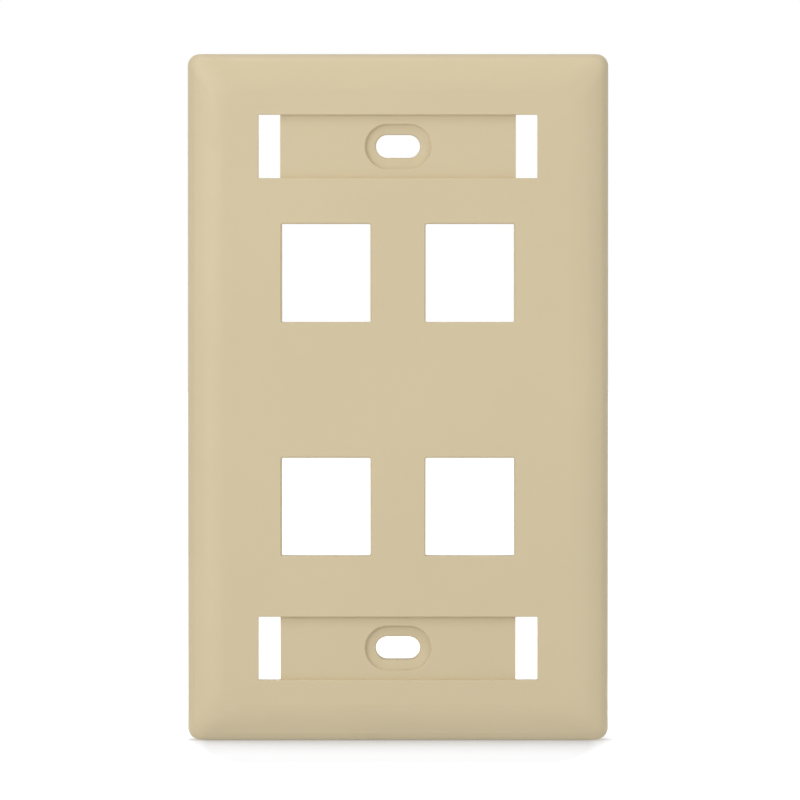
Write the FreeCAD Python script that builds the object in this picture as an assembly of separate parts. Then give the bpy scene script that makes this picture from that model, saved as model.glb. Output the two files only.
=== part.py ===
import FreeCAD, Part
import math
import os
from FreeCAD import Vector

# Single-gang keystone faceplate: one injection moulding in ivory thermoplastic, with four
# keystone ports, two label recesses and two slots for the box screws.
# Millimetres. X is to the right seen from the front, Z is up and the face looks towards -Y.
# The origin is the middle of the rear rim, so Y = 0 is the surface of the wall. Depths are
# counted from the front face towards the wall, and the port frames reach past the wall plane.

# Plate: the outer shell
plate_width = 70.0
plate_height = 114.1
plate_depth = 6.35          # front face to wall plane
corner_radius = 2.0         # outline corners seen from the front
flat_corner_radius = 3.0    # the same corners where the rounding meets the flat of the face
roll_radius = 9.0           # rounding of the face towards each edge
roll_angle = 32.0           # slope that this rounding reaches, degrees
edge_radius = 2.5           # tighter radius between the rounding and the skirt
skirt_draft = 1.5           # lean of the skirt, degrees
shell_wall = 2.3            # thickness of the front wall
rim_wall = 2.0              # thickness of the skirt at the wall plane
hollow_corner_radius = 0.8
hollow_flat_radius = 1.6
hollow_edge_radius = 0.6

# Box screws: two slots on the centre line, each in an oval seat
screw_spacing = 83.34       # standard distance between the cover screws of a device box
slot_length = 7.35
slot_width = 3.8
seat_margin = 1.75          # ring around the slot for the screw head
seat_depth = 0.75           # rim of the seat below the floor of the label recess
seat_dish = 0.25            # further fall of the seat from its rim to the slot
boss_wall = 1.9             # material around the slot behind the seat
boss_draft = 0.2            # how far the boss leans in towards its end
boss_setback = 0.5          # the boss ends short of the wall plane

# Label recesses: one around each screw, with a window through at each end for a clear cover
label_width = 46.3
label_height = 10.5
label_depth = 1.0
label_floor = 2.0
label_wall = 1.6
label_corner_radius = 0.3
window_width = 3.6

# Keystone ports: two columns and two rows
port_width = 14.75
port_height = 16.3
port_corner_radius = 0.3
column_pitch = 23.9
row_pitch = 38.8
port_raise = 1.25           # middle of the four openings above the middle of the plate

# Port frames: behind each opening, a pocket above for the jack's hook and one below for its latch
frame_depth = 9.8           # front face to the rear edge of the frame
frame_wall = 1.7
frame_draft = 0.25          # how far each outer wall leans in towards the rear
frame_corner_radius = 0.8
hook_ledge = 6.3            # thickness of the edge that the jack's fixed hook goes behind
hook_pocket = 2.6           # reach of the pocket above the opening
hook_catch = 1.2            # how far the upper rear lip stands into the pocket
hook_lead = 0.6             # slope on the upper rear lip
latch_ledge = 4.2           # thickness of the edge that the jack's sprung latch clicks behind
latch_pocket = 4.4          # reach of the pocket below the opening
latch_catch = 2.8           # how far the lower rear lip stands into the pocket
latch_lead = 1.0            # slope on the lower rear lip
catch_depth = 8.1           # front face to the faces of both rear lips
side_lead = 0.5             # chamfer on the rear edges of the side walls

# Ribs and ejector pads behind the face
rib_wall = 1.2
rib_height = 2.2
end_rib_pitch = 32.0        # between the two short ribs from a label well to the skirt
ejector_diameter = 3.5
ejector_pitch = 54.0        # between the two columns of pads
ejector_rise = 0.15

# Broken edges, around the openings in the face and on what stands out behind it
label_mouth_chamfer = 0.1
seat_mouth_chamfer = 0.15
slot_mouth_chamfer = 0.15
port_mouth_chamfer = 0.2
rear_chamfer = 0.3

face_steps = 4              # steps that draw each curve of the outer section
hollow_steps = 1            # the hollow has plain slopes instead of curves
clear = 1.0                 # how far cutting solids run past what they cut
flat = 0.01                 # what counts as no distance when edges are picked by their place
front = -plate_depth        # Y of the front face
label_y = front + label_depth
shell_back = front + shell_wall
hook_side = port_height / 2 + hook_pocket
latch_side = port_height / 2 + latch_pocket
port_middles = [
    (side * column_pitch / 2, port_raise + row * row_pitch / 2)
    for row in (1, -1)
    for side in (-1, 1)
]
screw_heights = [screw_spacing / 2, -screw_spacing / 2]


def prism(wire, depth):
    """Solid from a wire in a plane of constant Y, towards the wall."""
    return Part.Face(wire).extrude(Vector(0, depth, 0))


def box(x_range, y_range, z_range):
    """Block between two limits along each axis."""
    size = [limit[1] - limit[0] for limit in (x_range, y_range, z_range)]
    return Part.makeBox(*size, Vector(x_range[0], y_range[0], z_range[0]))


def rounded_rectangle(width, height, radius, y, x_mid=0.0, z_mid=0.0):
    """Closed wire in a plane of constant Y."""
    edges = []
    end = None
    for quarter, (x_side, z_side) in enumerate([(1, 1), (-1, 1), (-1, -1), (1, -1)]):
        middle = Vector(
            x_mid + x_side * (width / 2 - radius), y, z_mid + z_side * (height / 2 - radius)
        )
        arc = [
            middle + Vector(radius * math.cos(angle), 0, radius * math.sin(angle))
            for angle in (math.pi / 4 * step for step in range(2 * quarter, 2 * quarter + 3))
        ]
        if end:
            edges.append(Part.makeLine(end, arc[0]))
        edges.append(Part.Arc(*arc).toShape())
        end = arc[2]
    edges.append(Part.makeLine(end, edges[0].firstVertex().Point))
    return Part.Wire(edges)


def obround(length, width, y, z_mid):
    """Closed wire with two half-round ends, its length along X."""
    reach = (length - width) / 2
    radius = width / 2
    edges = []
    for side in (1, -1):
        start = Vector(side * reach, y, z_mid + side * radius)
        tip = Vector(side * (reach + radius), y, z_mid)
        end = Vector(side * reach, y, z_mid - side * radius)
        edges.append(Part.Arc(start, tip, end).toShape())
        edges.append(Part.makeLine(end, Vector(-side * reach, y, end.z)))
    return Part.Wire(edges)


def section_runs(depth, roll, edge, steps):
    """Section of the shell as (inset from the outline, Y), in three runs from the flat face to
    the wall plane: the rounding, the edge radius and the drafted skirt."""
    tilt = math.radians(roll_angle)
    upright = math.radians(90 - skirt_draft)
    edge_y = -depth + roll - (roll - edge) * math.cos(tilt)
    skirt_top = edge_y - edge * math.cos(upright)
    skirt_inset = -skirt_top * math.tan(math.radians(skirt_draft))
    edge_inset = skirt_inset + edge * math.sin(upright)
    roll_inset = edge_inset + (roll - edge) * math.sin(tilt)
    rounding = []
    corner = []
    for step in range(steps + 1):
        part = step / steps
        angle = tilt * part
        rounding.append(
            (roll_inset - roll * math.sin(angle), -depth + roll - roll * math.cos(angle))
        )
        angle = tilt + (upright - tilt) * part
        corner.append((edge_inset - edge * math.sin(angle), edge_y - edge * math.cos(angle)))
    return rounding, corner, [corner[-1], (0.0, 0.0)]


def rolled_block(width, height, depth, roll, edge, outline_corner, face_corner, steps):
    """Block whose face rolls off to all four edges. Its levels have rounded corners, whose
    radius changes evenly from the outline to the flat of the face."""
    runs = section_runs(depth, roll, edge, steps)
    flat_inset = runs[0][0][0]
    blocks = []
    for run in runs:
        levels = []
        for inset, y in run:
            radius = outline_corner + (face_corner - outline_corner) * inset / flat_inset
            levels.append(rounded_rectangle(width - 2 * inset, height - 2 * inset, radius, y))
        blocks.append(Part.makeLoft(levels, True, len(levels) == 2))
    return blocks[0].fuse(blocks[1:]).removeSplitter()


def chamfered_rear(solid):
    """The solid with the edges of its rearmost face broken."""
    rear = max(solid.Faces, key=lambda face: face.CenterOfMass.y)
    return solid.makeChamfer(rear_chamfer, rear.Edges)


def label_well(z_mid):
    """Thicker floor and side walls behind a label recess."""
    start = front + shell_wall / 2
    outline = rounded_rectangle(
        label_width + 2 * label_wall, label_height + 2 * label_wall, label_wall / 2, start, 0, z_mid
    )
    return chamfered_rear(prism(outline, label_y + label_floor - start))


def screw_boss(z_mid):
    """Oval boss around the slot, from the floor of the label recess to near the wall."""
    length = slot_length + 2 * boss_wall
    width = slot_width + 2 * boss_wall
    base = obround(length, width, label_y + seat_depth + seat_dish, z_mid)
    tip = obround(length - 2 * boss_draft, width - 2 * boss_draft, -boss_setback, z_mid)
    return chamfered_rear(Part.makeLoft([base, tip], True, True))


def label_cut(z_mid):
    """Recess for the paper label and its clear cover, and the two windows for its hooks."""
    recess = prism(
        rounded_rectangle(
            label_width, label_height, label_corner_radius, front - clear, 0, z_mid
        ),
        label_depth + clear,
    )
    windows = []
    for side in (-1, 1):
        outer = side * label_width / 2
        inner = side * (label_width / 2 - window_width)
        windows.append(box(
            sorted((outer, inner)),
            (front, label_y + label_floor + clear),
            (z_mid - label_height / 2, z_mid + label_height / 2),
        ))
    return recess.fuse(windows)


def screw_cut(z_mid):
    """Oval seat that falls slightly towards its slot, and the slot through the boss."""
    rim_y = label_y + seat_depth
    length = slot_length + 2 * seat_margin
    width = slot_width + 2 * seat_margin
    seat = prism(obround(length, width, label_y - clear, z_mid), seat_depth + clear)
    dish = Part.makeLoft([
        obround(length, width, rim_y, z_mid),
        obround(slot_length, slot_width, rim_y + seat_dish, z_mid),
    ], True, True)
    slot = prism(obround(slot_length, slot_width, rim_y, z_mid), clear - rim_y)
    return seat.fuse([dish, slot])


def port_frame(x_mid, z_mid):
    """Outer form of the frame behind one opening, drafted on all four sides."""
    width = port_width + 2 * frame_wall
    height = hook_side + latch_side + 2 * frame_wall
    middle = z_mid + (hook_side - latch_side) / 2
    start = front + shell_wall / 2
    lean = 2 * frame_draft
    frame = Part.makeLoft([
        rounded_rectangle(width, height, frame_corner_radius, start, x_mid, middle),
        rounded_rectangle(
            width - lean, height - lean, frame_corner_radius, front + frame_depth, x_mid, middle
        ),
    ], True, True)
    return chamfered_rear(frame)


def port_cut(x_mid, z_mid):
    """Opening through face and frame, with the pocket and rear lip that hold the jack's hook
    above it, and those that hold its latch below it."""
    opening = prism(
        rounded_rectangle(
            port_width, port_height, port_corner_radius, front - clear, x_mid, z_mid
        ),
        frame_depth + 2 * clear,
    )
    hook_lip = hook_side - hook_catch
    latch_lip = latch_side - latch_catch
    outline = [
        (0, hook_ledge),
        (hook_side, hook_ledge),
        (hook_side, catch_depth),
        (hook_lip, catch_depth),
        (hook_lip + hook_lead, frame_depth),
        (hook_lip + hook_lead, frame_depth + clear),
        (-latch_lip - latch_lead, frame_depth + clear),
        (-latch_lip - latch_lead, frame_depth),
        (-latch_lip, catch_depth),
        (-latch_side, catch_depth),
        (-latch_side, latch_ledge),
        (0, latch_ledge),
    ]
    left = x_mid - port_width / 2
    corners = [Vector(left, front + depth, z_mid + rise) for rise, depth in outline]
    pockets = Part.Face(Part.makePolygon(corners + corners[:1]))
    pockets = pockets.extrude(Vector(port_width, 0, 0))

    lead_start = port_width / 2
    lead_end = lead_start + side_lead
    corners = [
        Vector(x_mid + across, front + depth, z_mid - latch_lip)
        for across, depth in (
            (-lead_start, frame_depth - side_lead),
            (-lead_end, frame_depth),
            (-lead_end, frame_depth + clear),
            (lead_end, frame_depth + clear),
            (lead_end, frame_depth),
            (lead_start, frame_depth - side_lead),
        )
    ]
    lead = Part.Face(Part.makePolygon(corners + corners[:1]))
    lead = lead.extrude(Vector(0, 0, hook_lip + latch_lip))
    return opening.fuse([pockets, lead])


def ribs(outer):
    """Low ribs that tie the frames to each other, to the label wells and to the skirt."""
    depth = (shell_back - shell_wall / 2, shell_back + rib_height)
    half = rib_wall / 2
    reach_x = (plate_width - rim_wall) / 2
    reach_z = (plate_height - rim_wall) / 2
    well_near = (screw_spacing - label_height) / 2
    well_far = (screw_spacing + label_height) / 2
    solids = [box((-half, half), depth, (-well_near, well_near))]
    for z_mid in sorted({z_mid for x_mid, z_mid in port_middles} | {port_raise}):
        solids.append(box((-reach_x, reach_x), depth, (z_mid - half, z_mid + half)))
    for x_mid in (-end_rib_pitch / 2, end_rib_pitch / 2):
        solids.append(box((x_mid - half, x_mid + half), depth, (well_far, reach_z)))
        solids.append(box((x_mid - half, x_mid + half), depth, (-reach_z, -well_far)))
    return [solid.common(outer) for solid in solids]


def ejector_pads():
    """Low round pads on the back of the face where ejector pins pushed the moulding out."""
    start = shell_back - shell_wall / 2
    rows = screw_heights + [port_raise - row_pitch / 4, port_raise + row_pitch / 4]
    return [
        Part.makeCylinder(
            ejector_diameter / 2, shell_wall / 2 + ejector_rise, Vector(x_mid, start, z_mid),
            Vector(0, 1, 0),
        )
        for x_mid in (-ejector_pitch / 2, ejector_pitch / 2)
        for z_mid in rows
    ]


def mouth_edges(shape, y, width, height, x_mid, z_mid):
    """Edges in a plane of constant Y that lie within a rectangle around an opening's mouth."""
    found = []
    for edge in shape.Edges:
        limits = edge.BoundBox
        across = max(x_mid - limits.XMin, limits.XMax - x_mid)
        upward = max(z_mid - limits.ZMin, limits.ZMax - z_mid)
        off_plane = max(abs(limits.YMin - y), abs(limits.YMax - y))
        if off_plane < flat and across < width / 2 + flat and upward < height / 2 + flat:
            found.append(edge)
    return found


def faceplate():
    outer = rolled_block(
        plate_width, plate_height, plate_depth, roll_radius, edge_radius,
        corner_radius, flat_corner_radius, face_steps,
    )
    hollow = rolled_block(
        plate_width - 2 * rim_wall,
        plate_height - 2 * rim_wall,
        plate_depth - shell_wall,
        roll_radius - shell_wall,
        hollow_edge_radius,
        hollow_corner_radius,
        hollow_flat_radius,
        hollow_steps,
    )
    shell = outer.cut(hollow)
    added = ribs(outer) + ejector_pads()
    cuts = []
    for z_mid in screw_heights:
        added += [label_well(z_mid), screw_boss(z_mid)]
        cuts += [label_cut(z_mid), screw_cut(z_mid)]
    for x_mid, z_mid in port_middles:
        added.append(port_frame(x_mid, z_mid))
        cuts.append(port_cut(x_mid, z_mid))
    plate = shell.fuse(added).cut(cuts).removeSplitter()

    seat_y = label_y + seat_depth + seat_dish
    seat_length = slot_length + 2 * seat_margin
    seat_width = slot_width + 2 * seat_margin
    for z_mid in screw_heights:
        for size, y, width, height in (
            (label_mouth_chamfer, front, label_width, label_height),
            (seat_mouth_chamfer, label_y, seat_length, seat_width),
            (slot_mouth_chamfer, seat_y, slot_length, slot_width),
        ):
            mouth = mouth_edges(plate, y, width, height, 0, z_mid)
            plate = plate.makeChamfer(size, mouth)
    for x_mid, z_mid in port_middles:
        mouth = mouth_edges(plate, front, port_width, port_height, x_mid, z_mid)
        plate = plate.makeChamfer(port_mouth_chamfer, mouth)
    return plate


os.makedirs("parts", exist_ok=True)
plate = faceplate()
solid = plate.Solids[0]
print("solids", len(plate.Solids), "valid", plate.isValid(), "faces", len(solid.Faces))
print("box", solid.BoundBox)
print("volume cm3", round(solid.Volume / 1000, 3))
solid.exportStep("parts/faceplate.step")
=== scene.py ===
import math

import bpy
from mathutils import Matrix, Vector


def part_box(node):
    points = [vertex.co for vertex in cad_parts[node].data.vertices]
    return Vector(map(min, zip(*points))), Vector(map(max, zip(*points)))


# The plate stands on its lower edge on a white floor, in soft studio light, and is seen almost
# square from the front. Lengths are in metres.
MM = 0.001

# Material of the plate
IVORY_DEEP = (0.627, 0.529, 0.338, 1)
IVORY_PALE = (0.643, 0.542, 0.346, 1)
SHARP_ANGLE = math.radians(25)      # edges that turn by more than this stay sharp
NOISE_LOW = 0.3                     # noise mostly lies between these two
NOISE_HIGH = 0.7

# Floor: two levels and the stretch in front of the plate's foot from the first to the second
# FLOOR_GLOW: painted glow that the floor gives off onto the plate, a little brighter within 6 mm
# of its foot
FLOOR_GLOW = (0.71, 0.66, 0.0, 6 * MM)
# Painted shade: the white glow that the camera sees on the floor is kept low near the plate and
# lowest right at its foot, so the floor there is darker than the real shadow alone makes it
FLOOR_PAINTED_SHADE_LEVELS = (0.075, 0.175, 0.0, 13 * MM)
FLOOR_SHADED = (0.645, 0.65, 0.665)         # colour of the part that takes the shadow
FLOOR_WHITE = (52 * MM, 110 * MM)           # stretch over which the real shadow and the painted shade give way to white
FOOT_INSET = 12 * MM                        # the real shadow and the painted shade start to fade this far within the sides
SIDE_FADE = 6                               # and fades this many times faster sideways
FLOOR_SIZE = 40                             # side of the floor, in heights of the plate

# Light: direction from the plate, distance, side of the lamp, and the level that a white
# surface facing the lamp gets from it
WORLD_LEVEL = 0.27
PLATE_LAMPS = {
    "front_left": ((-0.49, -0.84, 0.22), 0.7, 0.38, 0.335),
    "front_right": ((0.50, -0.86, 0.09), 1.0, 0.41, 0.095),
    "high_left": ((-0.60, -0.51, 0.62), 1.0, 0.45, 0.145),
    "high_right": ((0.55, -0.46, 0.69), 1.0, 0.45, 0.175),
    "top": ((-0.16, -0.05, 0.98), 1.0, 0.45, 0.20),
}
FLOOR_LAMP = ((-0.03, 0.12, 0.99), 0.8, 0.26, 0.55)

# Camera: a long lens, nearly level with the middle of the plate
CAMERA_DISTANCE = 1.5
CAMERA_ELEVATION = math.radians(1.5)
VIEW_WIDTH = 133.3 * MM             # width of the picture at the wall plane
VIEW_MIDDLE = Vector((0.33 * MM, 0, -0.55 * MM))

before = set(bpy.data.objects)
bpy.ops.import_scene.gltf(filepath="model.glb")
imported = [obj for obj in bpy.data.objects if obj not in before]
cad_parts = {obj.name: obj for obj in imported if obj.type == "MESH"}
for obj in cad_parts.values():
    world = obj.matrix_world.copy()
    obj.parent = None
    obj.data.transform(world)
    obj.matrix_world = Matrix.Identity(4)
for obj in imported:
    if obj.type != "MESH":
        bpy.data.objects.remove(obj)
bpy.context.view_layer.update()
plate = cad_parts["faceplate"]
plate_low, plate_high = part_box("faceplate")
plate_height = plate_high.z - plate_low.z
front_y = plate_low.y


# ---- Shader helpers -------------------------------------------------------------------------

def new_material(name):
    """An empty node material and its node tree."""
    material = bpy.data.materials.new(name)
    material.use_nodes = True
    material.node_tree.nodes.clear()
    return material, material.node_tree


def add_node(tree, kind, inputs=None, **settings):
    """A node with its settings, and its inputs set to values or linked from sockets."""
    node = tree.nodes.new(kind)
    for key, value in settings.items():
        setattr(node, key, value)
    for key, value in (inputs or {}).items():
        if isinstance(value, bpy.types.NodeSocket):
            tree.links.new(value, node.inputs[key])
        else:
            node.inputs[key].default_value = value
    return node


def noise(tree, place, size, detail=2.0, roughness=0.5):
    """Noise whose features are about size metres across."""
    inputs = {"Vector": place, "Scale": 1 / size, "Detail": detail, "Roughness": roughness}
    return add_node(tree, "ShaderNodeTexNoise", inputs).outputs["Fac"]


def remap(tree, value, low, high, from_low=NOISE_LOW, from_high=NOISE_HIGH):
    """A value carried from one range to another and held at its ends. Each of low and high is a
    number or a socket."""
    inputs = {
        "Value": value, "From Min": from_low, "From Max": from_high, "To Min": low, "To Max": high,
    }
    return add_node(tree, "ShaderNodeMapRange", inputs).outputs["Result"]


def vector_math(tree, operation, inputs):
    return add_node(tree, "ShaderNodeVectorMath", inputs, operation=operation)


def larger(tree, first, second):
    inputs = {0: first, 1: second}
    return add_node(tree, "ShaderNodeMath", inputs, operation="MAXIMUM").outputs[0]


def seen_directly(tree):
    """1 for rays that look at a surface straight, or by a mirror or through glass, else 0."""
    rays = add_node(tree, "ShaderNodeLightPath").outputs
    straight_or_mirrored = larger(tree, rays["Is Camera Ray"], rays["Is Glossy Ray"])
    return larger(tree, straight_or_mirrored, rays["Is Transmission Ray"])


# ---- Materials ------------------------------------------------------------------------------

def ivory_plastic():
    """Satin moulded ivory: faint mottling of the colour, uneven gloss, a fine mould grain, and
    broad shallow waves where the moulding has shrunk."""
    material, tree = new_material("ivory_plastic")
    place = add_node(tree, "ShaderNodeTexCoord").outputs["Object"]

    cloud = noise(tree, place, size=22 * MM, detail=3.0)
    inputs = {"Factor": remap(tree, cloud, 0.0, 1.0)}
    tint = add_node(tree, "ShaderNodeMix", inputs, data_type="RGBA")
    tint.inputs["A"].default_value = IVORY_DEEP
    tint.inputs["B"].default_value = IVORY_PALE

    flow = noise(tree, place, size=2.5 * MM)
    gloss = remap(tree, flow, 0.42, 0.52)

    waves = noise(tree, place, size=14 * MM, detail=1.0)
    inputs = {"Height": waves, "Strength": 0.25, "Distance": 0.10 * MM}
    wavy = add_node(tree, "ShaderNodeBump", inputs).outputs["Normal"]
    grain = noise(tree, place, size=0.09 * MM, roughness=0.6)
    inputs = {"Height": grain, "Strength": 0.25, "Distance": 0.004 * MM, "Normal": wavy}
    grainy = add_node(tree, "ShaderNodeBump", inputs).outputs["Normal"]

    shader = add_node(
        tree,
        "ShaderNodeBsdfPrincipled",
        {
            "Base Color": tint.outputs["Result"],
            "Roughness": gloss,
            "Normal": grainy,
            "IOR": 1.5,
            "Subsurface Weight": 0.08,
            "Subsurface Radius": (0.9 * MM, 0.6 * MM, 0.3 * MM),
            "Subsurface Scale": 1.0,
        },
    )
    add_node(tree, "ShaderNodeOutputMaterial", {"Surface": shader.outputs["BSDF"]})
    return material


def white_floor():
    """Matt white that keeps a soft shadow. Where it is seen, a part that takes the shadow and a
    plain glow add up to white, and away from the plate the plain glow becomes white by itself.
    Near the plate the plain glow is kept low, lowest right at its foot, which paints shade on the
    floor on top of the real shadow. Towards the plate the floor gives off a painted glow without
    shadow, a little brighter right at its foot, which lights the plate."""
    material, tree = new_material("floor_white")
    looked_at = seen_directly(tree)
    shaded = vector_math(tree, "SCALE", {0: FLOOR_SHADED, "Scale": looked_at})
    diffuse = add_node(tree, "ShaderNodeBsdfDiffuse", {"Color": shaded.outputs[0]})

    foot = (plate_high.x - FOOT_INSET, -front_y, 0)
    place = add_node(tree, "ShaderNodeTexCoord").outputs["Object"]
    for operation, other in (
        ("ABSOLUTE", (0, 0, 0)),
        ("SUBTRACT", foot),
        ("MAXIMUM", (0, 0, 0)),
        ("MULTIPLY", (SIDE_FADE, 1, 1)),
    ):
        place = vector_math(tree, operation, {0: place, 1: other}).outputs["Vector"]
    away = vector_math(tree, "LENGTH", {0: place}).outputs["Value"]
    ahead = add_node(tree, "ShaderNodeSeparateXYZ", {"Vector": place}).outputs["Y"]

    # Painted shade: the glow seen on the floor stays low near the plate, lowest at its foot, and
    # turns white further away
    plain = remap(tree, away, remap(tree, ahead, *FLOOR_PAINTED_SHADE_LEVELS), 1.0, *FLOOR_WHITE)
    # Rays that don't see the floor directly get the painted glow that lights the plate
    level = remap(tree, looked_at, remap(tree, ahead, *FLOOR_GLOW), plain, 0.0, 1.0)
    emission = add_node(tree, "ShaderNodeEmission", {"Strength": level})
    both = add_node(tree, "ShaderNodeAddShader", {0: diffuse.outputs[0], 1: emission.outputs[0]})
    add_node(tree, "ShaderNodeOutputMaterial", {"Surface": both.outputs[0]})
    return material


def make_world():
    """Even light all round, and plain white where it is seen."""
    world = bpy.data.worlds.new("studio")
    world.use_nodes = True
    tree = world.node_tree
    tree.nodes.clear()
    strength = remap(tree, seen_directly(tree), WORLD_LEVEL, 1.0, 0.0, 1.0)
    light = add_node(tree, "ShaderNodeBackground", {"Color": (1, 1, 1, 1), "Strength": strength})
    add_node(tree, "ShaderNodeOutputWorld", {"Surface": light.outputs[0]})
    bpy.context.scene.world = world


# ---- The plate ------------------------------------------------------------------------------

def dress_plate():
    mesh = plate.data
    mesh.materials.clear()
    mesh.materials.append(ivory_plastic())
    mesh.set_sharp_from_angle(angle=SHARP_ANGLE)
    for polygon in mesh.polygons:
        polygon.use_smooth = True
    weighted = plate.modifiers.new("even_normals", "WEIGHTED_NORMAL")
    weighted.keep_sharp = True


# ---- Stage, lights and camera ---------------------------------------------------------------

def make_floor():
    bpy.ops.mesh.primitive_plane_add(
        size=FLOOR_SIZE * plate_height, location=(0, 0, plate_low.z)
    )
    floor = bpy.context.object
    floor.name = "floor"
    floor.data.materials.append(white_floor())
    return floor


def soft_light(name, direction, distance, size, level):
    """A square lamp that the camera doesn't see, facing the middle of the plate's front."""
    lamp = bpy.data.lights.new(name, "AREA")
    lamp.shape = "SQUARE"
    lamp.size = size
    lamp.energy = level * (math.pi * distance) ** 2
    holder = bpy.data.objects.new(name, lamp)
    bpy.context.scene.collection.objects.link(holder)
    toward = Vector(direction).normalized()
    holder.location = Vector((0, front_y, 0)) + toward * distance
    holder.rotation_euler = toward.to_track_quat("Z", "Y").to_euler()
    holder.visible_camera = False
    return holder


def light_only(holder, target):
    """Let a lamp reach one object alone, past everything that still casts a shadow on it."""
    lit = bpy.data.collections.new(holder.name + "_target")
    lit.objects.link(target)
    holder.light_linking.receiver_collection = lit


def make_camera():
    data = bpy.data.cameras.new("camera")
    data.lens = data.sensor_width * CAMERA_DISTANCE / VIEW_WIDTH
    data.clip_start = 0.1
    data.clip_end = 100
    camera = bpy.data.objects.new("camera", data)
    bpy.context.scene.collection.objects.link(camera)
    away = Vector((0, -math.cos(CAMERA_ELEVATION), math.sin(CAMERA_ELEVATION)))
    camera.location = VIEW_MIDDLE + away * CAMERA_DISTANCE
    camera.rotation_euler = (math.radians(90) - CAMERA_ELEVATION, 0, 0)
    bpy.context.scene.camera = camera


def make_studio():
    make_world()
    floor = make_floor()
    for name, placing in PLATE_LAMPS.items():
        soft_light(name, *placing)
    light_only(soft_light("floor_light", *FLOOR_LAMP), floor)
    make_camera()
    bpy.context.scene.view_settings.view_transform = "Standard"


dress_plate()
make_studio()
